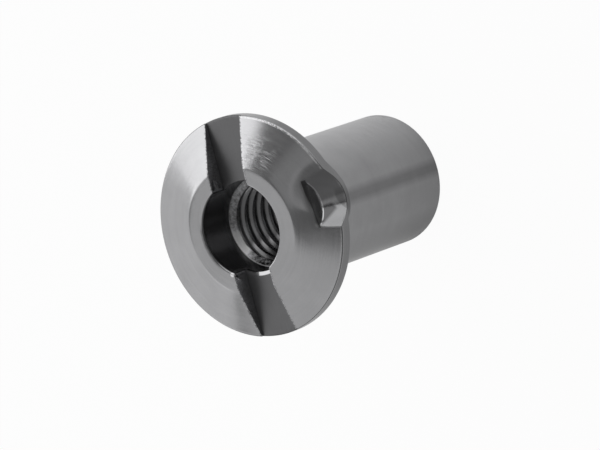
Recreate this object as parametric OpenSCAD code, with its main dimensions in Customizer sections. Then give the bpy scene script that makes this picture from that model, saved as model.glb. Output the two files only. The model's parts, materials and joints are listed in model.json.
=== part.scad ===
// Clutch adjuster nut: a slotted round head on a long shank that is threaded inside.
// It is turned from steel bar in one piece. The head has a plain band, a low cone and
// a flat face, and a punched dent in the cone stands out underneath as a locking pip.
// Millimetres. The nut stands on the end of its shank with the origin at the centre
// of that end. +Z runs up the axis to the slotted face. The slot lies along Y.

/* [Head] */
// Diameter of the head over its plain band
head_d = 19.05; // [17:0.05:24]
// Height of the plain band round the head
band_h = 1.1; // [0.9:0.05:1.5]
// Height of the cone between the band and the flat face
cone_h = 1.42; // [1.1:0.02:1.8]
// Diameter of the flat face that the cone ends in
face_d = 10.9; // [9.5:0.1:13.5]
// Edge break on both corners of the band
band_break = 0.12; // [0.04:0.02:0.3]

/* [Shank] */
// Diameter of the shank
shank_d = 11.5; // [9.5:0.1:12.6]
// Length of the shank under the head
shank_l = 19.1; // [12:0.1:26]
// Radius of the fillet between the shank and the head
root_r = 0.25; // [0.1:0.05:0.5]
// Edge break round the free end of the shank
shank_break = 0.15; // [0.1:0.05:0.6]

/* [Bore] */
// Diameter that is drilled for the thread, which is its minor diameter
thread_minor_d = 6.8; // [5.6:0.1:7.4]
// Diameter of the clearance hole behind the face, as wide as the thread's crests on its stud
clearance_d = 7.94; // [7.6:0.02:8.8]
// Depth of the clearance hole's wall below the flat face
clearance_depth = 3.7; // [2.6:0.1:6]
// Edge break round the mouth of the clearance hole
mouth_break = 0.16; // [0.06:0.02:0.4]
// Included angle of the drill point that ends the clearance hole
drill_point_angle = 118; // [90:1:135]
// Lead-in countersink at the free end of the shank, wider than the thread on each side
lead_in = 0.75; // [0.6:0.05:1]

/* [Driver slot] */
// Width of the slot across the head
slot_w = 3.7; // [3:0.1:4.6]
// Depth of the slot below the flat face
slot_depth = 1.6; // [1.2:0.05:2]

/* [Locking pip] */
// Direction of the pip, turned from square to the slot
pip_turn = 6; // [0:1:20]
// Length of the dent, from its inner end wall to the edge of the head
dent_l = 2.12; // [1.6:0.02:2.3]
// Radius of the round dent at its inner end
dent_r = 2; // [1.7:0.05:2.3]
// Height of the dent's axis above the band's upper corner
dent_rise = 1.5; // [1.2:0.05:1.8]
// Angle at which the dent flares towards the edge of the head
dent_flare = 25; // [15:1:28]
// Metal left between the dent and the surface of the pip, across their common axis
pip_wall = 0.57; // [0.4:0.01:0.7]
// Depth of the shallow dish that the punch draws into the cone beside the dent
dish_depth = 0.2; // [0.1:0.02:0.3]
// Diameter of that dish
dish_d = 5; // [4:0.1:6]
// Direction of the dish, turned from the pip's
dish_turn = 9; // [0:1:14]
// Distance from the middle of the dish to the edge of the head
dish_inset = 0.8; // [0.4:0.05:1.6]

/* [Hidden] */
$fn = 120;

head_r = head_d / 2;
face_r = face_d / 2;
shank_r = shank_d / 2;
minor_r = thread_minor_d / 2;
clearance_r = clearance_d / 2;

// Heights above the free end of the shank
seat_z = shank_l;
corner_z = seat_z + band_h;
face_z = corner_z + cone_h;
clearance_z = face_z - clearance_depth;
drill_point_z = clearance_z - (clearance_r - minor_r) / tan(drill_point_angle / 2);

// The breaks on the cone's side of the band run along its slope
cone_slope = cone_h / (head_r - face_r);
lead_in_r = minor_r + lead_in;

// The dent's axis, and how far the cutters reach past the edge of the head
dent_z = corner_z + dent_rise;
overcut = 2;

// The dish is part of a large ball that dips into the cone, square to its slope
ball_r = (pow(dish_d / 2, 2) + pow(dish_depth, 2)) / (2 * dish_depth);
dish_z = corner_z + dish_inset * cone_slope;

// Half section of the turned blank, with the fillet at the root of the shank as a true arc
module blank_section() {
  difference() {
    polygon([
      [lead_in_r, 0],
      [shank_r - shank_break, 0],
      [shank_r, shank_break],
      [shank_r, seat_z - root_r],
      [shank_r + root_r, seat_z],
      [head_r - band_break, seat_z],
      [head_r, seat_z + band_break],
      [head_r, corner_z - band_break],
      [head_r - band_break, corner_z + band_break * cone_slope],
      [face_r, face_z],
      [clearance_r + mouth_break, face_z],
      [clearance_r, face_z - mouth_break],
      [clearance_r, clearance_z],
      [minor_r, drill_point_z],
      [minor_r, lead_in],
    ]);
    translate([shank_r + root_r, seat_z - root_r]) circle(r = root_r);
  }
}

// Round form that lies along the pip and flares outwards, from the dent's end wall past the edge
module flared_form(grow) {
  reach = dent_l + overcut;
  rotate([0, 0, pip_turn]) translate([head_r - dent_l, 0, dent_z]) rotate([0, 90, 0])
    cylinder(r1 = dent_r + grow, r2 = dent_r + grow + reach * tan(dent_flare), h = reach);
}

// Metal that the punch pushes out under the head: a ramp that ends flush with the band
module pip() {
  intersection() {
    flared_form(pip_wall);
    cylinder(r = head_r, h = seat_z + band_h / 2);
  }
}

// The dent, with a flat inner end wall
module dent() {
  flared_form(0);
}

// Shallow dish beside the dent, where the cone was drawn in with it
module drawn_dish() {
  rotate([0, 0, pip_turn + dish_turn]) translate([head_r - dish_inset, 0, dish_z])
    rotate([0, atan(cone_slope), 0]) translate([0, 0, ball_r - dish_depth]) sphere(r = ball_r);
}

// Cutter for the driver slot, right across the head
module driver_slot() {
  translate([-slot_w / 2, -head_r - overcut, face_z - slot_depth])
    cube([slot_w, head_d + 2 * overcut, slot_depth + overcut]);
}

module adjuster_nut() {
  color("#85878b")
    difference() {
      union() {
        rotate_extrude() blank_section();
        pip();
      }
      drawn_dish();
      driver_slot();
      dent();
    }
}

adjuster_nut();
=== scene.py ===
# %% [markdown]
# # A clutch adjuster nut
#
# The nut is one piece of steel, turned from bar: a slotted round head on a long shank
# that is threaded inside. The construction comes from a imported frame, which gives the
# outer sizes and the holes. This lesson makes the finished surface over that frame.

# %% Load the frame
import json
import math

import bmesh
import bpy
import numpy as np
from mathutils import Matrix, Vector


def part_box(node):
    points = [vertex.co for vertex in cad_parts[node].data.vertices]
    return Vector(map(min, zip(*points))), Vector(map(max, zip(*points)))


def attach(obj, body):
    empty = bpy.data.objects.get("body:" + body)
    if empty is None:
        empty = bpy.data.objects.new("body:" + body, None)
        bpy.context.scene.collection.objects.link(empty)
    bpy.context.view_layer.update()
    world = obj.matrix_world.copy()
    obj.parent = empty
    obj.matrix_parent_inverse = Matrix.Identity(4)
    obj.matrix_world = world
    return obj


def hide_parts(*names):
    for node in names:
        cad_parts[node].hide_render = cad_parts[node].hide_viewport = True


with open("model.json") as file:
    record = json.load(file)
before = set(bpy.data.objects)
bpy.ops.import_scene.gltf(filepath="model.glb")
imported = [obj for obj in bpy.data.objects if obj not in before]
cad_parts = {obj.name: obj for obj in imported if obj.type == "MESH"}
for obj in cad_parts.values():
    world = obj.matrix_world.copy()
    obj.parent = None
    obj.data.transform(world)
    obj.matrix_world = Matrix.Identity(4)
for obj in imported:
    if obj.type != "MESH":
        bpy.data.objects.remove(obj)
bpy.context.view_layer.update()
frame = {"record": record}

MM = 0.001
NODE = "adjuster_nut"
mounts = {mount["name"]: mount for mount in frame["record"]["mounts"]}
nut_low, nut_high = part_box(NODE)
print("frame:", [round(side / MM, 2) for side in nut_high - nut_low], "mm")

# %% [markdown]
# ## Sizes
#
# The frame knows the head, the shank and the two bores. What it doesn't name is written
# here once, in millimetres. Heights are measured from the free end of the shank.

# %% Sizes of the head and the shank
head_r = nut_high.y / MM
face_z = nut_high.z / MM
seat_z = mounts["head_seat"]["pos_m"][2] / MM
shank_r = mounts["shank"]["dims"]["r_mm"]

band_h = 1.1
face_r = 5.45
corner_z = seat_z + band_h
cone_h = face_z - corner_z
cone_slope = cone_h / (head_r - face_r)
edge_r = 0.12
root_r = 0.25
shank_break = 0.15
print("head radius", round(head_r, 3), "cone height", round(cone_h, 2))

# %% Sizes of the bore and the slot
minor_r = mounts["stud_thread"]["dims"]["r_mm"]
clearance_r = mounts["clearance_hole"]["dims"]["r_mm"]
clearance_depth = 3.7
clearance_z = face_z - clearance_depth
mouth_break = 0.16
lead_in = 0.75
INCH = 25.4
THREADS_PER_INCH = 22
pitch = INCH / THREADS_PER_INCH

slot_w = 3.7
slot_half = slot_w / 2
slot_depth = 1.6
slot_z = face_z - slot_depth
floor_break = 0.11
face_round = 0.12
print("thread pitch", round(pitch, 4), "clearance hole ends at", round(clearance_z, 2))

# %% Sizes of the dent and its pip
pip_angle = math.radians(6)
dent_l = 2.12
dent_end = head_r - dent_l
dent_r = 2.0
dent_rise = 1.5
dent_z = corner_z + dent_rise
dent_flare = math.tan(math.radians(25))
pip_wall = 0.57

dish_angle = pip_angle + math.radians(9)
dish_r = 2.5
dish_depth = 0.2
dish_inset = 0.8
dish_out = head_r - dish_inset
print("the dent is", round(head_r - dent_end, 2), "mm long and its axis is at", round(dent_z, 2))

# %% [markdown]
# ## The camera
#
# The nut stands on its shank and the camera looks down on the head from one side, rolled
# so that the shank runs up to the right. A long lens keeps the far end nearly as large as
# the near one. The pose is written the other way round, as one would hold the nut up to a
# lens: where its axis points, how far it is turned about that axis, and where the rim is.
# The camera's own axes are right, down and forward. Turning that view back gives the eye.

# %% Place the camera
NUT_AXIS = Vector((-0.5798, 0.2046, -0.7886))
SLOT_ROLL = 0.172
RIM_CENTRE = Vector((-4.17386, 0.13106, 390.57644))
SENSOR_W = 36
LENS = 278.4


def camera_axes(axis, roll):
    """The nut's X, Y and Z seen by a camera whose own axes are right, down and forward."""
    up = Vector((0, -1, 0))
    across = (up - up.dot(axis) * axis).normalized()
    side = axis.cross(across)
    nut_y = math.cos(roll) * across + math.sin(roll) * side
    return nut_y.cross(axis), nut_y, axis


nut_x, nut_y, nut_z = camera_axes(NUT_AXIS.normalized(), SLOT_ROLL)
view = Matrix((nut_x, nut_y, nut_z))
eye = Vector((0, 0, corner_z * MM)) - view @ (RIM_CENTRE * MM)
turn = Matrix((view @ Vector((1, 0, 0)), view @ Vector((0, -1, 0)), view @ Vector((0, 0, -1))))

camera = bpy.data.objects.new("camera", bpy.data.cameras.new("camera"))
camera.data.sensor_width = SENSOR_W
camera.data.lens = LENS
camera.data.clip_start = 0.01
camera.matrix_world = Matrix.Translation(eye) @ turn.transposed().to_4x4()
bpy.context.scene.collection.objects.link(camera)
bpy.context.scene.camera = camera
print("camera", [round(value / MM) for value in eye], "mm, lens", round(camera.data.lens))

# %% [markdown]
# ## The head as two heights
#
# Everything that faces up is one height for each place on the plan, so it can be written
# as a function: a flat face, a cone, and the dent that a round punch left in the cone.
# The underside is a second such function, with the pip that the punch pushed out. A
# boolean could cut the dent, but it would leave a hard edge all round. Where two heights
# meet, a smooth minimum rounds the edge instead, as bent metal does.

# %% Helpers that soften where two heights meet
def smooth_min(a, b, width):
    """The lower of two heights, rounded over where they differ by less than the width."""
    overlap = np.maximum(width - np.abs(a - b), 0)
    return np.minimum(a, b) - overlap**2 / (4 * width)


def ease(x, start, end):
    """A curve that eases from 0 at the start to 1 at the end."""
    t = np.clip((x - start) / (end - start), 0, 1)
    return t * t * (3 - 2 * t)


def out_and_across(x, y):
    """Distance out along the pip's centre line, and across it."""
    c, s = math.cos(pip_angle), math.sin(pip_angle)
    return x * c + y * s, y * c - x * s


print("where two heights meet, a rounding of 0.4 mm takes off", round(-smooth_min(0, 0, 0.4), 2), "mm")

# %% The cone, with the dish that the punch drew into it
def cone_height(r):
    """The flat face and the cone, with the corner between them eased."""
    past = r - face_r
    eased = (past + np.sqrt(past**2 + face_round**2)) / 2
    return face_z - cone_h * eased / (head_r - face_r)


def dish_height(x, y):
    """The underside of a large ball that dips into the cone beside the dent."""
    ball_r = (dish_r**2 + dish_depth**2) / (2 * dish_depth)
    lift = (ball_r - dish_depth) / math.hypot(1, cone_slope)
    out = dish_out + lift * cone_slope
    middle_z = corner_z + (head_r - dish_out) * cone_slope + lift
    from_middle = (x - out * math.cos(dish_angle)) ** 2 + (y - out * math.sin(dish_angle)) ** 2
    return middle_z - np.sqrt(np.maximum(ball_r**2 - from_middle, 0))


print("the face is", round(cone_height(0) - cone_height(head_r), 2), "mm above the rim")

# %% [markdown]
# A punch can't shear a clean corner. It leaves an end wall that leans back a little, with
# a fillet at its foot, and pulls the edge of the cone above it down. Towards the rim the
# metal has room to flow, so there the shoulders of the dent roll over more.

# %% The dent, and the whole upper surface
WALL_SLOPE = 16
WALL_SET_BACK = 0.05
FOOT_FILLET = 0.14
PULL_DEPTH = 0.1
PULL_REACH = 0.3
PULL_SIDE = 0.4
PULL_HALF_WIDTH = 1.5
DISH_ROUND = 0.1
SHOULDER_ROUND = 0.55
DISH_SIDE_ROUND = 0.15


def round_form(out, across, grow):
    """The underside of a round form that flares outwards along the pip's centre line."""
    radius = dent_r + grow + (out - dent_end) * dent_flare
    return dent_z - np.sqrt(np.maximum(radius**2 - across**2, 0))


def dent_height(out, across):
    """The dent's round floor and its steep end wall, with a fillet between them."""
    wall = dent_z - WALL_SLOPE * (out - dent_end + WALL_SET_BACK)
    wall += WALL_SLOPE / 2 * np.maximum(dent_end - WALL_SET_BACK - out, 0)
    return -smooth_min(-round_form(out, across, 0), -wall, FOOT_FILLET)


def top_height(x, y):
    """Height of the head's upper surface. Its edges roll over most on the dish's side."""
    out, across = out_and_across(x, y)
    cone = smooth_min(cone_height(np.hypot(x, y)), dish_height(x, y), DISH_ROUND)
    behind = np.maximum(dent_end - out, 0)
    beside = np.maximum(np.abs(across) - PULL_HALF_WIDTH, 0)
    cone = cone - PULL_DEPTH * np.exp(-((behind / PULL_REACH) ** 2) - (beside / PULL_SIDE) ** 2)
    roll = SHOULDER_ROUND + DISH_SIDE_ROUND * ease(across, 0, 1.6)
    roll = roll * (0.3 + 0.7 * ease(out, dent_end, dent_end + 0.6))
    return smooth_min(cone, dent_height(out, across), roll)


trough = top_height(*((head_r - edge_r) * np.array([math.cos(pip_angle), math.sin(pip_angle)])))
print("the dent's floor lies", round(corner_z - trough, 2), "mm under the rim's corner")

# %% [markdown]
# Underneath, the metal that the punch pushed down is the dent's own form, one wall
# thicker. On the dish's side it leans out and blends into the seat over a longer way.

# %% The underside
PIP_LEAN = 0.35
PIP_BLEND = 0.12
DISH_SIDE_BLEND = 0.9


def under_height(x, y):
    """The flat underside, and the pip's ramp, which blends in softly on the dish's side."""
    out, across = out_and_across(x, y)
    leaned = across - PIP_LEAN * ease(across, 0, 1)
    pip = np.where(out > 0, round_form(out, leaned, pip_wall), face_z)
    blend = PIP_BLEND + DISH_SIDE_BLEND * ease(across, 0.6, 2.0)
    return smooth_min(np.full_like(pip, seat_z), pip, blend)


pip_end = (head_r * math.cos(pip_angle), head_r * math.sin(pip_angle))
print("the pip stands out", round(seat_z - under_height(*pip_end), 2), "mm under the head")

# %% [markdown]
# ## Columns
#
# The surface is a net of four-sided faces. Its columns run out from the bore and follow
# the edges of the slot, so that those stay straight and sharp. Round the pip they close up
# and run square to it. Each ring of the net has the same columns, so rings can be joined.

# %% Columns of a land, which is the part of the head on one side of the slot
LAND_COLUMNS = 133
SLOT_COLUMNS = 59
ROUND_STEPS = 2
SQUARE_R = 8.5
CROWD_HALF_WIDTH = 0.26


def land_shares(crowding):
    """Where a land's columns lie between its two edges, from -1 to 1."""
    places = np.linspace(-1, 1, 2001)
    pip_place = pip_angle / (math.pi / 2 - math.asin(slot_half / SQUARE_R))
    density = 1 + crowding * np.exp(-(((places - pip_place) / CROWD_HALF_WIDTH) ** 4))
    sums = np.concatenate([[0], np.cumsum((density[1:] + density[:-1]) / 2)])
    steps = LAND_COLUMNS - 2 * ROUND_STEPS
    return np.interp(np.linspace(0, 1, steps + 1), sums / sums[-1], places)


shares = {"right": land_shares(2.6), "left": land_shares(0)}
middle = slice(ROUND_STEPS, LAND_COLUMNS + 1 - ROUND_STEPS)
closest, widest = np.diff(shares["right"]).min(), np.diff(shares["right"]).max()
print("round the pip the columns are", round(widest / closest, 1), "times closer")

# %% [markdown]
# Two columns on each side of a land follow the rounding of the slot's edges. On the land
# with the pip the others bend, so that close to the dent they run along it.

# %% Directions of a land's columns
def land_angles(side, r, edges):
    """Angles of a land's columns at radius r, with the widths of its two rounded edges."""
    r = np.broadcast_to(np.asarray(r, float), (LAND_COLUMNS + 1,))
    angles = np.empty(LAND_COLUMNS + 1)
    first = np.arcsin((slot_half + edges[0]) / r[middle]) - np.pi / 2
    last = np.pi / 2 - np.arcsin((slot_half + edges[1]) / r[middle])
    share = shares[side]
    angles[middle] = first + (last - first) * (share + 1) / 2
    for step in range(ROUND_STEPS):
        part = 1 - math.sin(math.pi / 2 * (1 - step / ROUND_STEPS))
        angles[step] = np.arcsin((slot_half + edges[0] * part) / r[step]) - np.pi / 2
        angles[-1 - step] = np.pi / 2 - np.arcsin((slot_half + edges[1] * part) / r[-1 - step])
    if side == "right":
        reach = np.pi / 2 - np.arcsin(slot_half / SQUARE_R)
        across = SQUARE_R * np.sin(share * reach - pip_angle)
        square = pip_angle + np.arcsin(np.clip(across / r[middle], -0.95, 0.95))
        weight = (1 - ease(np.abs(across), 2.6, 6.5)) * ease(r[middle], 5.6, 7.0)
        angles[middle] += weight * (square - angles[middle])
    return angles


angles = np.degrees(land_angles("left", face_r, (0, 0)))
print("at the edge of the face a land spans", round(angles[-1] - angles[0]), "degrees")

# %% Places of a land's columns
def land_plan(side, r, edges):
    """Plan of one row of a land's columns. Near the dent's inner end rows run square to it."""
    r = radius = np.broadcast_to(np.asarray(r, float), (LAND_COLUMNS + 1,))
    if side == "right":
        pull = ease(r, 6.0, 7.1) * (1 - ease(r, 7.7, 9.3))
        for _ in range(3):
            turn = land_angles(side, radius, edges) - pip_angle
            near = 1 - ease(np.abs(radius * np.sin(turn)), 2.2, 4.6)
            radius = r * (1 + pull * near * (1 / np.cos(turn * (near > 0)) - 1))
    angles = land_angles(side, radius, edges)
    facing = 1 if side == "right" else -1
    return facing * radius * np.cos(angles), facing * radius * np.sin(angles)


bowed = np.hypot(*land_plan("right", dent_end, (0, 0))).max() - dent_end
print("at the dent's end wall a row bows out by up to", round(bowed, 2), "mm")

# %% Columns of the slot
def slot_plan(end, r):
    """Plan of one row across the slot. Its end is 1 at the higher Y and -1 at the lower Y."""
    x = slot_half * np.linspace(1, -1, SLOT_COLUMNS + 1)
    return end * x, end * np.sqrt(r**2 - x**2)


low_x, low_y = slot_plan(-1, head_r)
print("the slot is", round(np.ptp(low_x), 2), "mm wide and meets the rim at y =", round(low_y[0], 2))

# %% [markdown]
# ## The net
#
# Each patch of the surface is a list of rows of points. The patches share their border
# points, and are sewn together at the end by merging points that lie in one place. The
# slot could be cut out of a turned blank, but polished metal shows every uneven face, and
# in a net whose rows and columns follow the shape the highlights stay smooth.

# %% A bench to lay patches on
points, faces = [], []


def lay(rows, closed=False):
    """Add a patch: rows of points, all of one length, and the faces between them."""
    rows = np.array(rows)
    if closed:
        rows = np.concatenate([rows, rows[:, :1]], axis=1)
    index = len(points) + np.arange(rows.shape[0] * rows.shape[1]).reshape(rows.shape[:2])
    points.extend(map(tuple, rows.reshape(-1, 3)))
    for a, b in zip(index[:-1].tolist(), index[1:].tolist()):
        faces.extend(zip(a[:-1], a[1:], b[1:], b[:-1]))
    return rows


def row(plan, z):
    """One row of points from its plan and its height, which may be a function of the plan."""
    x, y = plan
    return np.column_stack([x, y, np.broadcast_to(z(x, y) if callable(z) else z, x.shape)])


def stops(*parts):
    """Numbers that run through the given stops, each stretch with its own spacing."""
    values = [parts[0]]
    for spacing, end in zip(parts[1::2], parts[2::2]):
        count = max(1, round(abs(values[-1] - end) / spacing))
        values.extend(np.linspace(values[-1], end, count + 1)[1:])
    return values


print("the bench is empty:", len(points), "points")

# %% [markdown]
# A land's row knows which way its surface faces, its lean: 0 is up, a quarter turn is
# outwards and a quarter turn the other way is inwards. The rounding of the slot's edges
# sets its outer columns back against that direction. A cutter tears such an edge as it
# leaves the metal, so the rounding is wider in some places than in others.

# %% One row of a land, with its torn edges
SLOT_EDGE = 0.06
TORN_BY = (0.08, 0.12)


def tear(r):
    """An uneven wave along an edge, between -1 and 1."""
    return math.sin(5.1 * r + 1) * math.sin(13.7 * r) * math.sin(29 * r + 2)


def slot_edges(r):
    """Widths of a land's two slot edges at radius r. The cutter tore them a little."""
    return SLOT_EDGE + TORN_BY[0] * max(tear(r), 0), SLOT_EDGE + TORN_BY[1] * abs(tear(r + 7))


def land_row(side, r, z, lean=0.0, rounded=1.0):
    """One row of a land at radius r, set back where the slot's edges are rounded."""
    edges = slot_edges(r)
    back = np.zeros(LAND_COLUMNS + 1)
    for step in range(ROUND_STEPS):
        part = 1 - math.cos(math.pi / 2 * (1 - step / ROUND_STEPS))
        back[step], back[-1 - step] = edges[0] * part, edges[1] * part
    back *= rounded
    points_in_row = row(land_plan(side, r - back * math.sin(lean), edges), z)
    points_in_row[:, 2] -= back * math.cos(lean)
    return points_in_row


tears = [slot_edges(r)[1] for r in stops(face_r, 0.05, head_r)]
print("the slot's torn edge is", round(min(tears), 2), "to", round(max(tears), 2), "mm wide")

# %% The two lands, from the band over the top and down into the bore
mouth_r = clearance_r + mouth_break
rim_r = head_r - edge_r
floor_edge_z = slot_z - floor_break
QUARTER = np.linspace(0, np.pi / 2, 5)
TROUGH_MARGIN = 0.12
WALL_ROWS = (7.62, 7.2)


def band_level(side):
    """Height of the ring that the slot's floor meets, kept under the dent's trough."""
    top = land_row(side, rim_r, top_height, rounded=0)[:, 2] - edge_r
    return top, np.minimum(floor_edge_z, top - TROUGH_MARGIN)


def land_rows(side):
    """All rows of a land. They lie closest together over the dent's end wall."""
    rim_z, level = band_level(side)
    rows = [land_row(side, head_r, level, np.pi / 2, rounded=0)]
    rows += [land_row(side, head_r, level + (rim_z - level) * part, np.pi / 2) for part in (0.3, 0.8)]
    for angle in QUARTER[:-1]:
        r = rim_r + edge_r * math.cos(angle)
        rows.append(land_row(side, r, rim_z + edge_r * math.sin(angle), np.pi / 2 - angle))
    over_dent = stops(rim_r, 0.1, WALL_ROWS[0], 0.03, WALL_ROWS[1], 0.1, face_r)
    for r in over_dent + stops(face_r, 0.16, mouth_r + 0.1, 0.05, mouth_r)[1:]:
        rows.append(land_row(side, r, top_height))
    for angle in QUARTER[1:]:
        r = mouth_r - mouth_break * math.sin(angle)
        rows.append(land_row(side, r, face_z - mouth_break * (1 - math.cos(angle)), -angle))
    for z in np.linspace(face_z - mouth_break, floor_edge_z, 6)[1:]:
        rows.append(land_row(side, clearance_r, z, -np.pi / 2, rounded=float(z > floor_edge_z)))
    return rows


lands = {side: lay(land_rows(side)) for side in ("right", "left")}
print("each land has", len(lands["right"]), "rows of", LAND_COLUMNS + 1, "points")

# %% [markdown]
# The slot's floor breaks over to the band at one end and to the bore at the other. At the
# end with the lower Y the cutter pushed a burr into the bore, and where that broke off
# the edge is wider and catches the light. A wall of the slot is flat, so it is one face,
# whose outline is the border of the land above it and of the floor below.

# %% The slot's two floors and four walls
SHARP_EDGE = 0.002
BURR_EDGE = 0.05
BURR_WIDTH = 0.27


def slot_rows(end):
    """Rows across the slot's floor, from the band to the edge of the bore."""
    rows = []
    for angle in QUARTER:
        r = head_r - floor_break * (1 - math.cos(angle))
        rows.append(row(slot_plan(end, r), floor_edge_z + floor_break * math.sin(angle)))
    for r in stops(head_r - floor_break, 0.15, clearance_r + 0.4)[1:]:
        rows.append(row(slot_plan(end, r), slot_z))
    width = np.full(SLOT_COLUMNS + 1, SHARP_EDGE)
    if end < 0:
        width = BURR_EDGE + BURR_WIDTH * ease(np.linspace(0, 1, SLOT_COLUMNS + 1), 0.25, 0.35)
    for part in np.linspace(0, 1, 4):
        rows.append(row(slot_plan(end, clearance_r + width * (1 - part)), slot_z - floor_break * part))
    return rows


floors = {end: lay(slot_rows(end)) for end in (1, -1)}
for side, end, land_column, floor_column in (
    ("right", 1, -1, 0), ("left", 1, 0, -1), ("left", -1, -1, 0), ("right", -1, 0, -1)
):
    outline = np.concatenate([lands[side][:, land_column], floors[end][-2:0:-1, floor_column]])
    faces.append(tuple(range(len(points), len(points) + len(outline))))
    points.extend(map(tuple, outline))
print("slot", 2 * slot_half, "mm wide,", round(face_z - slot_z, 2), "mm deep")

# %% [markdown]
# Below the slot's floor the rings are whole. Down the shank and down the bore their
# columns ease over to an even spacing, so that the thread, whose columns are even and
# half as many, can be sewn on at both ends. There one row of faces, each with two columns
# on one side and one on the other, halves their number.

# %% Whole rings
RING_COLUMNS = 2 * (LAND_COLUMNS + SLOT_COLUMNS)
THREAD_COLUMNS = RING_COLUMNS // 2
FIRST_ANGLE = -math.radians(62.5)


def ring(r, z):
    """One ring of points round the nut, whose columns are those of the lands and the slot."""
    edges = slot_edges(r)
    right, left = land_plan("right", r, edges), land_plan("left", r, edges)
    parts = (right, slot_plan(1, r), left, slot_plan(-1, r))
    return row([np.concatenate([part[axis][:-1] for part in parts]) for axis in (0, 1)], z)


def even_ring(like, r, z, share):
    """A round ring whose columns lie part of the way from another ring's to an even spacing."""
    angles = np.unwrap(np.arctan2(like[:, 1], like[:, 0]))
    angles += share * (FIRST_ANGLE + np.arange(RING_COLUMNS) * 2 * np.pi / RING_COLUMNS - angles)
    return row((r * np.cos(angles), r * np.sin(angles)), z)


def halve(ring_points, r, z):
    """Faces from an even ring to a ring with half as many columns at another radius or height."""
    angles = FIRST_ANGLE + np.arange(THREAD_COLUMNS) * 2 * np.pi / THREAD_COLUMNS
    start = len(points)
    points.extend(map(tuple, ring_points))
    points.extend(map(tuple, row((r * np.cos(angles), r * np.sin(angles)), z)))
    for j in range(THREAD_COLUMNS):
        far = [start + (2 * j + step) % RING_COLUMNS for step in (0, 1, 2)]
        near = [start + RING_COLUMNS + (j + step) % THREAD_COLUMNS for step in (1, 0)]
        faces.append(tuple(far + near))


print("a ring has", RING_COLUMNS, "columns, and the thread has", THREAD_COLUMNS)

# %% The band, the underside, the shank and its end
right_level, left_level = (band_level(side)[1][:-1] for side in ("right", "left"))
slot_level = np.full(SLOT_COLUMNS, floor_edge_z)
top_level = np.concatenate([right_level, slot_level, left_level, slot_level])
low_level = ring(rim_r, under_height)[:, 2] + edge_r
rows = [ring(head_r, top_level + (low_level - top_level) * part) for part in np.linspace(0, 1, 6)]
for angle in QUARTER[1:]:
    r = rim_r + edge_r * math.cos(angle)
    rows.append(ring(r, low_level - edge_r * math.sin(angle)))
fillet_r = shank_r + root_r
for r in stops(rim_r, 0.1, WALL_ROWS[1], 0.24, fillet_r)[1:]:
    rows.append(ring(r, under_height))
for angle in QUARTER[1:]:
    rows.append(ring(fillet_r - root_r * math.sin(angle), seat_z - root_r * (1 - math.cos(angle))))
shank_top = rows[-1]
for part in np.linspace(0, 1, 12)[1:]:
    z = seat_z - root_r + (shank_break - seat_z + root_r) * part
    rows.append(even_ring(shank_top, shank_r, z, part))
for angle in QUARTER[1:]:
    r = shank_r - shank_break * (1 - math.cos(angle))
    rows.append(even_ring(shank_top, r, shank_break * (1 - math.sin(angle)), 1))
rows.append(even_ring(shank_top, (shank_r + minor_r + lead_in) / 2, 0, 1))
halve(lay(rows, closed=True)[-1, :-1], minor_r + lead_in, 0)
print("outside:", len(rows), "rings of", RING_COLUMNS, "points")

# %% The wall of the clearance hole
HALVING_H = 0.2
mouth_ring = ring(clearance_r, floor_edge_z)
wall_rows = [mouth_ring]
for part in np.linspace(0, 1, 6)[1:]:
    z = floor_edge_z + (clearance_z + HALVING_H - floor_edge_z) * part
    wall_rows.append(even_ring(mouth_ring, clearance_r, z, part))
halve(lay(wall_rows, closed=True)[-1, :-1], clearance_r, clearance_z)
print("net so far:", len(points), "points,", len(faces), "faces")

# %% [markdown]
# ## Sums on node sockets
#
# Node trees for the thread and for the steel are long sums. A small class wraps a socket,
# so that an ordinary Python expression on it adds the Math nodes. Any other node comes
# from one method, which takes the node's type, its settings and its inputs.

# %% A socket that can be used in a sum
class Sum:
    """A socket of a node tree. An operator on it adds a Math node and gives its result."""

    def __init__(self, board, socket):
        self.board = board
        self.socket = socket

    def math(self, operation, *others):
        """Add a Math node that has this socket as its first input."""
        inputs = dict(enumerate((self, *others)))
        return self.board.add("ShaderNodeMath", {"operation": operation}, inputs)

    def __add__(self, other):
        return self.math("ADD", other)

    def __radd__(self, other):
        return self.math("ADD", other)

    def __sub__(self, other):
        return self.math("SUBTRACT", other)

    def __rsub__(self, other):
        return self.math("MULTIPLY", -1).math("ADD", other)

    def __mul__(self, other):
        return self.math("MULTIPLY", other)

    def __rmul__(self, other):
        return self.math("MULTIPLY", other)

    def __truediv__(self, other):
        return self.math("DIVIDE", other)

    def __abs__(self):
        return self.math("ABSOLUTE")


# %% A node tree that takes nodes
class Board:
    """A node tree to build on."""

    def __init__(self, tree):
        self.tree = tree

    def add(self, kind, settings=None, inputs=None, output=0):
        """Add a node: its settings first, then its inputs, which are values or sums."""
        node = self.tree.nodes.new(kind)
        for name, value in (settings or {}).items():
            setattr(node, name, value)
        for name, value in (inputs or {}).items():
            if isinstance(value, Sum):
                self.tree.links.new(value.socket, node.inputs[name])
            else:
                node.inputs[name].default_value = value
        return Sum(self, node.outputs[output])


steel = bpy.data.materials.new("turned_steel")
steel.use_nodes = True
print("a new material has the nodes", [node.name for node in steel.node_tree.nodes])

# %% [markdown]
# ## The thread
#
# A thread follows a rule: its section repeats once for each turn, and climbs by one pitch
# as it goes round. Geometry Nodes wind a flat grid into that shape. The rows of the grid
# follow the helix, so the crests stay crisp. At the top and bottom the thread runs out
# into the drill point and the lead-in, which are cones that are wider than it is there.
#
# The tree could have been a loop in Python, but this way its sizes are named inputs, and
# the same tree winds a thread for another bore.

# %% The tree's inputs
NUMBERS = (
    "Minor radius", "Major radius", "Pitch", "Half angle",
    "Start", "Length", "Lead-in radius", "First angle",
)
COUNTS = ("Columns", "Rows per turn", "Turns")


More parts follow.
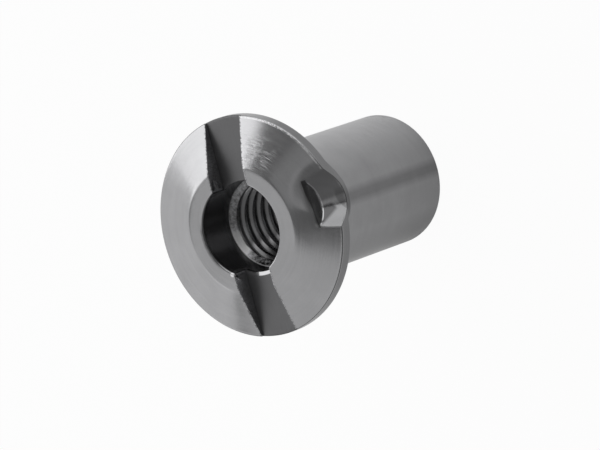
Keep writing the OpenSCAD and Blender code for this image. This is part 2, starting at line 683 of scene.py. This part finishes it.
def open_tree():
    """A new tree with the thread's inputs, as a board and as sums by their names."""
    tree = bpy.data.node_groups.new("internal_thread", "GeometryNodeTree")
    board = Board(tree)
    for names, kind in ((NUMBERS, "NodeSocketFloat"), (COUNTS, "NodeSocketInt")):
        for name in names:
            tree.interface.new_socket(name=name, in_out="INPUT", socket_type=kind)
    tree.interface.new_socket(name="Geometry", in_out="OUTPUT", socket_type="NodeSocketGeometry")
    source = tree.nodes.new("NodeGroupInput")
    return board, {socket.name: Sum(board, socket) for socket in source.outputs if socket.name}


print("the tree takes", len(NUMBERS), "sizes and", len(COUNTS), "counts")

# %% [markdown]
# Along the axis the thread's section is a row of triangles. Their roots are rounded at
# the major radius and their crests at the minor radius, by a smooth minimum and a smooth
# maximum. Before that rounding the roots would be sharp a little beyond the major radius,
# by a share of the pitch. The bore's radius is that of the thread, the drill point or the
# lead-in, whichever is the largest.

# %% The thread's section
DRILL_HALF_ANGLE = math.radians(59)
SHARP_ROOT = 0.16
ROOT_ROUND = 0.12
CREST_ROUND = 0.05


def thread_section(given, along, across):
    """Radius and height of the bore's wall, along the helix and across one turn."""
    length = given["Length"]
    height = ((along + across - 1) * given["Pitch"]).math("MAXIMUM", 0).math("MINIMUM", length)
    from_root = abs((along + given["Start"]).math("FRACT") - 0.5) * given["Pitch"]
    slope = given["Half angle"].math("TANGENT")
    sharp = given["Major radius"] + SHARP_ROOT * given["Pitch"]
    flank = (sharp - from_root / slope).math("SMOOTH_MIN", given["Major radius"], ROOT_ROUND)
    thread = flank.math("SMOOTH_MAX", given["Minor radius"], CREST_ROUND)
    drill_point = given["Major radius"] - (length - height) * math.tan(DRILL_HALF_ANGLE)
    lead = given["Lead-in radius"] - height
    return thread.math("MAXIMUM", drill_point).math("MAXIMUM", lead), height


drill_point_h = (clearance_r - minor_r) / math.tan(DRILL_HALF_ANGLE)
print("the drill point is", round(drill_point_h, 2), "mm high")

# %% Build the tree
def thread_tree(material):
    """Geometry Nodes that wind a grid into an internal thread with a cone at each end."""
    board, given = open_tree()
    turns = given["Turns"]
    grid = board.add("GeometryNodeMeshGrid", {}, {
        "Size X": 1, "Size Y": 1,
        "Vertices X": given["Columns"] + 1, "Vertices Y": turns * given["Rows per turn"] + 1,
    })
    place = board.add("GeometryNodeInputPosition")
    across = board.add("ShaderNodeSeparateXYZ", {}, {"Vector": place}, "X") + 0.5
    along = (board.add("ShaderNodeSeparateXYZ", {}, {"Vector": place}, "Y") + 0.5) * turns
    radius, height = thread_section(given, along, across)
    angle = across * (2 * math.pi) + given["First angle"]
    wound = board.add("ShaderNodeCombineXYZ", {}, {
        "X": radius * angle.math("COSINE"), "Y": radius * angle.math("SINE"), "Z": height,
    })
    moved = board.add("GeometryNodeSetPosition", {}, {"Geometry": grid, "Position": wound})
    merged = board.add("GeometryNodeMergeByDistance", {}, {"Geometry": moved, "Distance": 0.0005})
    real = board.add("GeometryNodeRealizeInstances", {}, {"Geometry": merged})
    done = board.add("GeometryNodeSetMaterial", {}, {"Geometry": real, "Material": material})
    sink = board.tree.nodes.new("NodeGroupOutput")
    board.tree.links.new(done.socket, sink.inputs["Geometry"])
    return board.tree


winder = thread_tree(steel)
print("the tree has", len(winder.nodes), "nodes")

# %% [markdown]
# A modifier runs the tree. Its inputs are set by their identifiers, and the result is
# copied as a plain mesh. The turns start at a whole row of the grid, so that each crest
# and each root lies on a row. The flanks of this old inch thread meet at 55 degrees.

# %% Wind the thread and take it as a plain mesh
HALF_ANGLE = math.radians(27.5)
ROWS_PER_TURN = 14
START_ROW = 8


def mesh_from_tree(name, tree, values):
    """Run a Geometry Nodes tree on an empty object, and give the mesh that it makes."""
    holder = bpy.data.objects.new(name, bpy.data.meshes.new(name))
    bpy.context.scene.collection.objects.link(holder)
    modifier = holder.modifiers.new("tree", "NODES")
    modifier.node_group = tree
    for item in tree.interface.items_tree:
        if item.name in values:
            modifier[item.identifier] = values[item.name]
    evaluated = holder.evaluated_get(bpy.context.evaluated_depsgraph_get())
    mesh = bpy.data.meshes.new_from_object(evaluated)
    holder.modifiers.remove(modifier)
    bpy.data.objects.remove(holder)
    return mesh


thread_mesh = mesh_from_tree("thread", winder, {
    "Minor radius": minor_r, "Major radius": clearance_r, "Pitch": pitch,
    "Half angle": HALF_ANGLE, "Start": START_ROW / ROWS_PER_TURN, "Length": clearance_z,
    "Lead-in radius": minor_r + lead_in, "First angle": FIRST_ANGLE,
    "Columns": THREAD_COLUMNS, "Rows per turn": ROWS_PER_TURN,
    "Turns": math.ceil(clearance_z / pitch) + 1,
})
print("thread:", len(thread_mesh.vertices), "points,", len(thread_mesh.polygons), "faces")

# %% [markdown]
# ## One closed skin
#
# The nut is one solid, so its patches and its thread become one mesh. After the merge
# every edge has to have exactly two faces, which is how a closed skin is known. Up to
# here the points are in millimetres, and now they are scaled to metres.

# %% Sew the patches together
MERGE_DISTANCE = 0.0004
SHORTEST_EDGE = 1e-6


def sew(name, extra):
    """Join the net and another mesh, merge shared points, and turn the faces outwards."""
    net = bpy.data.meshes.new(name)
    net.from_pydata(points, [], faces)
    skin = bmesh.new()
    skin.from_mesh(net)
    skin.from_mesh(extra)
    bmesh.ops.remove_doubles(skin, verts=skin.verts, dist=MERGE_DISTANCE)
    bmesh.ops.dissolve_degenerate(skin, edges=skin.edges, dist=SHORTEST_EDGE)
    bmesh.ops.recalc_face_normals(skin, faces=skin.faces)
    bmesh.ops.scale(skin, verts=skin.verts, vec=(MM, MM, MM))
    for face in skin.faces:
        face.smooth = True
    open_edges = sum(len(edge.link_faces) != 2 for edge in skin.edges)
    volume = skin.calc_volume() / MM**3
    skin.to_mesh(net)
    skin.free()
    return net, open_edges, volume


nut_mesh, open_edges, volume = sew("clutch_adjuster_nut", thread_mesh)
triangles = sum(len(face.vertices) - 2 for face in nut_mesh.polygons)
print("nut:", triangles, "triangles,", open_edges, "open edges,", round(volume, 1), "mm3")

# %% Keep the sharp corners sharp
SHARP_ANGLE = math.radians(38)
nut = bpy.data.objects.new("clutch_adjuster_nut", nut_mesh)
bpy.context.scene.collection.objects.link(nut)
nut_mesh.set_sharp_from_angle(angle=SHARP_ANGLE)
nut_mesh.materials.append(steel)
print("the nut's mesh has the materials", [material.name for material in nut_mesh.materials])

# %% [markdown]
# ## Turned steel
#
# The whole nut is one bare steel, so it is one material. What differs from place to place is what last
# touched the metal: a lathe tool, a cutter, a punch, a drill or the air. Each of those has its zones.
# Other zones are painted shade, painted highlights and painted reflections, in the slot, the bore and
# the dent, and on the band, the rim and the shank. A zone is a number that is mostly 1 inside it and 0
# outside. The zones then change the colour, the roughness and the small relief of the one material.
# Painting would do it as well, but zones in millimetres stay in place on any mesh.

# %% Coordinates in millimetres
board = Board(steel.node_tree)
place = board.add("ShaderNodeTexCoord", output="Object")
x, y, z = (board.add("ShaderNodeSeparateXYZ", {}, {"Vector": place}, axis) * (1 / MM) for axis in "XYZ")
along = (x * x + y * y).math("SQRT") + z
radius = along - z


def noise(u, v, w, detail=2.0, roughness=0.5):
    """Noise between 0 and 1, in steps of about one unit."""
    vector = board.add("ShaderNodeCombineXYZ", {}, {"X": u, "Y": v, "Z": w})
    return board.add("ShaderNodeTexNoise", {"noise_dimensions": "3D"}, {
        "Vector": vector, "Scale": 1.0, "Detail": detail, "Roughness": roughness,
    })


def between(value, low, high, soft=0.05):
    """1 where a value lies between two others, and 0 elsewhere, with soft ends."""
    rise = {"Value": value, "From Min": low - soft, "From Max": low + soft}
    fall = {"Value": value, "From Min": high - soft, "From Max": high + soft}
    fall |= {"To Min": 1.0, "To Max": 0.0}
    return board.add("ShaderNodeMapRange", {}, rise) * board.add("ShaderNodeMapRange", {}, fall)


print("coordinates:", len(steel.node_tree.nodes), "nodes")

# %% [markdown]
# A lathe tool leaves fine rings. On any surface of revolution the radius plus the height
# stays the same round one ring, so one coordinate draws the rings on the face, on the
# cone, under the head and down the shank. Slow noise breaks them up on the way round. A
# cutter that runs along the slot leaves straight lines there instead.

# %% Rings from the lathe, lines from the cutter, and stains
rings = noise(along * 7, x * 0.2, y * 0.2, 4, 0.65) - 0.5
broad = noise(along * 1.3, x * 0.1, y * 0.1, 2) - 0.5
stains = noise(x * 0.5, y * 0.5, z * 0.5, 3) - 0.5
lines = noise((x + z) * 7, y * 0.35, z * 0, 3, 0.6) - 0.5
fine_rings = noise(along * 19, x * 0.8, y * 0.8, 2, 0.6) - 0.5
grain = noise(x * 6, y * 6, z * 6, 3, 0.7)
print("with rings, lines and stains:", len(steel.node_tree.nodes), "nodes")

# %% [markdown]
# ### The slot
#
# A milled floor scatters light, so it is rougher, and its colour is darkened as painted shade from the
# slot's walls. The walls that rise from it stay brighter. The edge where the burr broke off at the bore
# is left out of that painted shade, since a fresh break is bright. Along both of its upper edges the
# metal is torn in places.

# %% Zones of the slot
milled = abs(x).math("LESS_THAN", slot_half + 0.012) * z.math("GREATER_THAN", slot_z - 0.15)
milled = milled * radius.math("GREATER_THAN", clearance_r + 0.001)
burr = between(radius, 0, clearance_r + 0.3, 0.01) * between(x, -0.6, 3) * y.math("LESS_THAN", 0)
# The floor's darker colour is painted shade from the slot's walls; its extra roughness is the milled
# finish.
milled_and_shaded_floor = milled * between(z, slot_z - 0.14, slot_z + 0.03, 0.012) * (1 - burr)
milled_wall = milled * z.math("GREATER_THAN", slot_z + 0.03)
torn = between(abs(x), slot_half + 0.004, slot_half + 0.16, 0.03)
torn = torn * between(z, corner_z - 0.2, face_z + 0.1)
torn = torn * noise(x * 3, y * 8, z * 3, 3, 0.7).math("GREATER_THAN", 0.55)
print("with the slot:", len(steel.node_tree.nodes), "nodes")

# %% [markdown]
# ### The bore
#
# The wall of the clearance hole is painted darker, as shade inside the bore. The drill point at its end
# and the first half turn under it are pitted, with one painted highlight and a stretch of painted shade
# beside it, towards the lower Y. The thread is a little brighter than the rest, but painted shade
# darkens it there.

# %% Zones of the bore
in_bore = between(radius, 0, clearance_r + 0.03, 0.01)
# Painted shade inside the clearance hole.
bore_wall_shade = in_bore * between(z, clearance_z, slot_z + 1.4, 0.03) * (1 - milled)
pitted_z = clearance_z - 0.95
drilled = in_bore * between(z, pitted_z, clearance_z - 0.02, 0.04)
# A painted highlight on the drill point, and painted shade beside it towards the lower Y.
drill_highlight = between(x, -4.6, -2.75, 0.25) * between(y, -2.5, -0.3, 0.4)
shaded = between(x, -2.4, 3.5, 0.5) * y.math("LESS_THAN", 0)
pits = noise(x * 4, y * 4, z * 4, 3, 0.7) * 2.4 - 1.3
# The pits are the drill point's own tone; the highlight and the shade added to them are painted.
pits_and_painted_light = drilled * (pits + drill_highlight * 1.2 - shaded * 0.75)
threaded = in_bore * between(z, 0, pitted_z, 0.04)
# Painted shade on the thread towards the lower Y.
thread_shade = threaded * between(y, -5, -1.8, 0.7)
print("with the bore:", len(steel.node_tree.nodes), "nodes")

# %% [markdown]
# ### The dent
#
# The punch sheared the metal at the dent's inner end, which leaves a rougher wall, painted dark as
# shade. At its foot a painted highlight runs along the narrow fillet. On one side of the trough, from
# the foot to the rim, the metal is painted darker as shade.

# %% Zones of the dent
out = x * math.cos(pip_angle) + y * math.sin(pip_angle)
across = y * math.cos(pip_angle) - x * math.sin(pip_angle)
in_dent = between(z, corner_z - 0.9, corner_z + 0.66)
# Painted shade on the dent's end wall; its extra roughness is the sheared metal.
sheared_wall_shade = between(out, dent_end - 0.3, dent_end + 0.09, 0.03) * in_dent
sheared_wall_shade = sheared_wall_shade * between(across, -2.1, 2.1)
# A painted highlight along the foot of the end wall.
foot_highlight = between(out, dent_end + 0.1, dent_end + 0.19, 0.02)
foot_highlight = foot_highlight * between(z, corner_z - 0.62, corner_z + 0.5) * between(across, -1.8, 1.8)
# Painted shade on one side of the dent's trough.
trough_shade = between(out, dent_end + 0.19, head_r - 0.1, 0.02) * in_dent
trough_shade = trough_shade * between(across - out * 0.85, -8.3, 0, 0.2) * between(across, -2.1, -0.42, 0.12)
print("with the dent:", len(steel.node_tree.nodes), "nodes")

# %% [markdown]
# ### The cone, the rim and the mouth of the bore
#
# Beside the slot the tool chattered: its rings are deeper there, and broken. The band round the head is
# painted darker as shade, except at its highest Y, where it is painted lighter. On that side the tool
# also rolled a ragged burr over the rim's corner, a small relief with a painted highlight. At the mouth
# of the bore the metal is scuffed along a short stretch, and one small spot beside the slot is much
# lighter.

# %% Zones of the cone, the rim and the mouth
chatter = between(radius, 5.9, 8.0, 0.5) * between(x / y.math("MAXIMUM", 0.1), 0.28, 0.95, 0.15)
chatter = chatter * between(noise(x * 1.2, y * 1.2, z, 1), 0.44, 1.1, 0.06)
chatter = chatter * y.math("GREATER_THAN", 0)
# Painted shade on the band round the head, and painted light at its highest Y.
band_light_and_shade = between(radius, head_r - 0.012, head_r + 0.5, 0.01)
band_light_and_shade = band_light_and_shade * between(z, seat_z - 1.3, corner_z - 0.1) * (1 - between(y, 8.6, 20, 0.7) * 2)
# The rolled burr is a small relief; its lighter colour is a painted highlight.
rolled_burr_highlight = between(radius, head_r - 0.2, head_r - 0.02, 0.03)
rolled_burr_highlight = rolled_burr_highlight * between(z, corner_z - 0.07, corner_z + 0.3) * between(y, 3.6, 8.9, 0.5)
rolled_burr_highlight = rolled_burr_highlight * x.math("GREATER_THAN", 0) * between(grain, 0.42, 2, 0.12)
scuff = between(radius, clearance_r - 0.01, clearance_r + 0.3, 0.08) * between(y, -2.7, 0.9, 0.4)
scuff = scuff * between(z, face_z - 0.2, face_z + 1) * x.math("LESS_THAN", 0) * grain
# One small spot beside the slot is much lighter in colour.
spot_x, spot_y = x + 2.1, y + 3.55
light_spot = between((spot_x * spot_x + spot_y * spot_y).math("SQRT"), -1, 0.2)
light_spot = light_spot * z.math("GREATER_THAN", face_z - 0.2)
print("with the cone, the rim and the mouth:", len(steel.node_tree.nodes), "nodes")

# %% [markdown]
# ### The shank
#
# The shank has painted reflections: it is lighter round the side with the higher Y, darker round the
# other side, and one narrow painted dark streak runs along it under the pip.

# %% Painted reflections on the shank
turn = y.math("ARCTAN2", x)
shank = between(z, -1, seat_z - 0.02, 0.02) * radius.math("GREATER_THAN", shank_r - 0.3)
# Painted reflections of the floor, and of the nut's shadow on it.
shank_reflection = between(turn, 0.75, 2.3, 0.4) * -0.35 + between(turn, -2.3, -0.85, 0.3) * 0.45
shank_reflection = shank * (shank_reflection + between(turn, -0.07, 0.13, 0.06) * 0.34)
print("with the oxide:", len(steel.node_tree.nodes), "nodes")

# %% [markdown]
# ### What the zones change
#
# A number says how much lighter or darker the steel is in a zone. The rings, lines and
# burr are also a small relief, because a groove shows mostly by the way it shines.
# Turned metal stretches highlights across its rings, so the shader is anisotropic, and a
# quarter turn of that direction makes them spread out from the axis.

# %% Lighter and darker zones
# Several of these zones are painted shade, painted highlights and painted reflections, not the steel's
# own colour.
changes = (
    (milled_and_shaded_floor, -0.6), (bore_wall_shade, -0.5), (sheared_wall_shade, -0.8), (band_light_and_shade, -0.3), (torn, -0.6),
    (drilled, 0.35), (threaded, 0.1), (thread_shade, -0.5), (foot_highlight, 0.8), (trough_shade, -0.6),
    (shank_reflection, -1), (rolled_burr_highlight, 0.8), (scuff, -0.9), (light_spot, 1.2), (milled_wall, 0.6),
)
shade = 1
for zone, change in changes:
    shade = shade * (1 + zone * change)
print(len(changes), "zones change the shade of the steel")

# %% The shader
GREY = 0.42
ROUGHNESS = 0.19
RELIEF = 0.003 * MM
marks = rings * (1 - milled) + lines * milled + fine_rings * chatter * 8
marks = marks + rolled_burr_highlight * (grain - 0.5) * 6
tone = GREY * (1 + marks * 0.16 + broad * 0.06 + stains * 0.2 + pits_and_painted_light) * shade
colour = board.add("ShaderNodeCombineColor", {}, {"Red": tone, "Green": tone, "Blue": tone * 1.02})
rough = ROUGHNESS + marks * 0.06 + stains * 0.06
rough = rough + milled_and_shaded_floor * 0.25 + drilled * 0.28 + sheared_wall_shade * 0.2
bump = board.add("ShaderNodeBump", {}, {"Height": marks, "Distance": RELIEF, "Strength": 1.0})

shader = board.tree.nodes["Principled BSDF"]
shader.inputs["Metallic"].default_value = 1
shader.inputs["Anisotropic"].default_value = 0.4
shader.inputs["Anisotropic Rotation"].default_value = 0.25
for name, value in (("Base Color", colour), ("Roughness", rough), ("Normal", bump)):
    board.tree.links.new(value.socket, shader.inputs[name])
print("steel:", len(board.tree.nodes), "nodes")

# %% [markdown]
# ## Light
#
# Bright metal is a mirror of the room, so the room is built with care: a dim grey tent
# with six round soft boxes. Most are placed where one part of the nut mirrors them. The
# key makes the bright sector on the cone. The wall is what the cone mirrors opposite the
# pip, and the top is what the flat face and the cone's side with the lower Y mirror. The
# side box fills in beside the key. The small crown and near boxes lift the part of the
# cone that mirrors the zenith, which would be nearly black without them. An image of a
# studio would light the nut too, but six lamps with names can be moved one at a time.

# %% The tent and its soft boxes
LAMP_DISTANCE = 0.45
world = bpy.data.worlds.new("tent")
bpy.context.scene.world = world
world.use_nodes = True
tent = world.node_tree.nodes["Background"]
tent.inputs["Color"].default_value = (1, 1, 1, 1)
tent.inputs["Strength"].default_value = 0.16


def towards(azimuth, elevation):
    """Unit vector from the nut towards a compass direction, in degrees."""
    a, e = math.radians(azimuth), math.radians(elevation)
    return Vector((math.cos(a) * math.cos(e), math.sin(a) * math.cos(e), math.sin(e)))


def soft_box(name, azimuth, elevation, width, radiance):
    """A round area lamp that faces the nut. Its width is in degrees, as the nut sees it."""
    lamp = bpy.data.objects.new(name, bpy.data.lights.new(name, "AREA"))
    away = towards(azimuth, elevation)
    size = 2 * LAMP_DISTANCE * math.tan(math.radians(width / 2))
    lamp.data.shape = "DISK"
    lamp.data.size = size
    lamp.data.energy = radiance * math.pi * math.pi * (size / 2) ** 2
    aim = away.to_track_quat("Z", "Y").to_matrix().to_4x4()
    middle = away * LAMP_DISTANCE + Vector((0, 0, face_z * MM))
    lamp.matrix_world = Matrix.Translation(middle) @ aim
    bpy.context.scene.collection.objects.link(lamp)
    print("lamp", name, round(lamp.data.energy, 2), "W,", round(size, 2), "m across")


soft_box("key", 147, 37, 42, 1.62)
soft_box("wall", 186, 12, 50, 0.68)
soft_box("top", 222, 51, 56, 0.53)
soft_box("side", 92, 28, 64, 0.68)
soft_box("crown", 92, 77, 24, 0.18)
soft_box("near", 45, 72, 24, 0.1)

# %% [markdown]
# The floor is plain and pale, and takes the nut's shadow. To the lens it should be as
# white as paper, so most of what the lens sees of it is a white glow. The nut mirrors
# much less of that glow, so that the shank stays darker than the floor.

# %% The floor
HALF_FLOOR = 3.0
SEEN_GLOW = 0.96
MIRRORED_GLOW = 0.22
corners = [(-1, -1), (1, -1), (1, 1), (-1, 1)]
floor_mesh = bpy.data.meshes.new("floor")
floor_mesh.from_pydata([(HALF_FLOOR * a, HALF_FLOOR * b, 0) for a, b in corners], [], [(0, 1, 2, 3)])
floor = bpy.data.objects.new("floor", floor_mesh)
bpy.context.scene.collection.objects.link(floor)
pale = bpy.data.materials.new("pale_floor")
pale.use_nodes = True
board = Board(pale.node_tree)
matt = board.tree.nodes["Principled BSDF"]
matt.inputs["Base Color"].default_value = (0.9, 0.9, 0.9, 1)
matt.inputs["Roughness"].default_value = 1
matt.inputs["Specular IOR Level"].default_value = 0
seen = board.add("ShaderNodeLightPath", output="Is Camera Ray") * SEEN_GLOW
mirrored = board.add("ShaderNodeLightPath", output="Is Glossy Ray") * MIRRORED_GLOW
white = board.add("ShaderNodeEmission", {}, {"Color": (1, 1, 1, 1), "Strength": 1.0})
mix = board.add("ShaderNodeMixShader", {}, {0: seen.math("MAXIMUM", mirrored), 2: white})
board.tree.links.new(matt.outputs[0], mix.socket.node.inputs[1])
board.tree.links.new(mix.socket, board.tree.nodes["Material Output"].inputs["Surface"])
floor_mesh.materials.append(pale)
bpy.context.scene.view_settings.view_transform = "Standard"
print("floor:", 2 * HALF_FLOOR, "m wide")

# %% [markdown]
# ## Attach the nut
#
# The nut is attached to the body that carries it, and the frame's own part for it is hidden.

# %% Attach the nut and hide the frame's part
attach(nut, "root")
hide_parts(NODE)
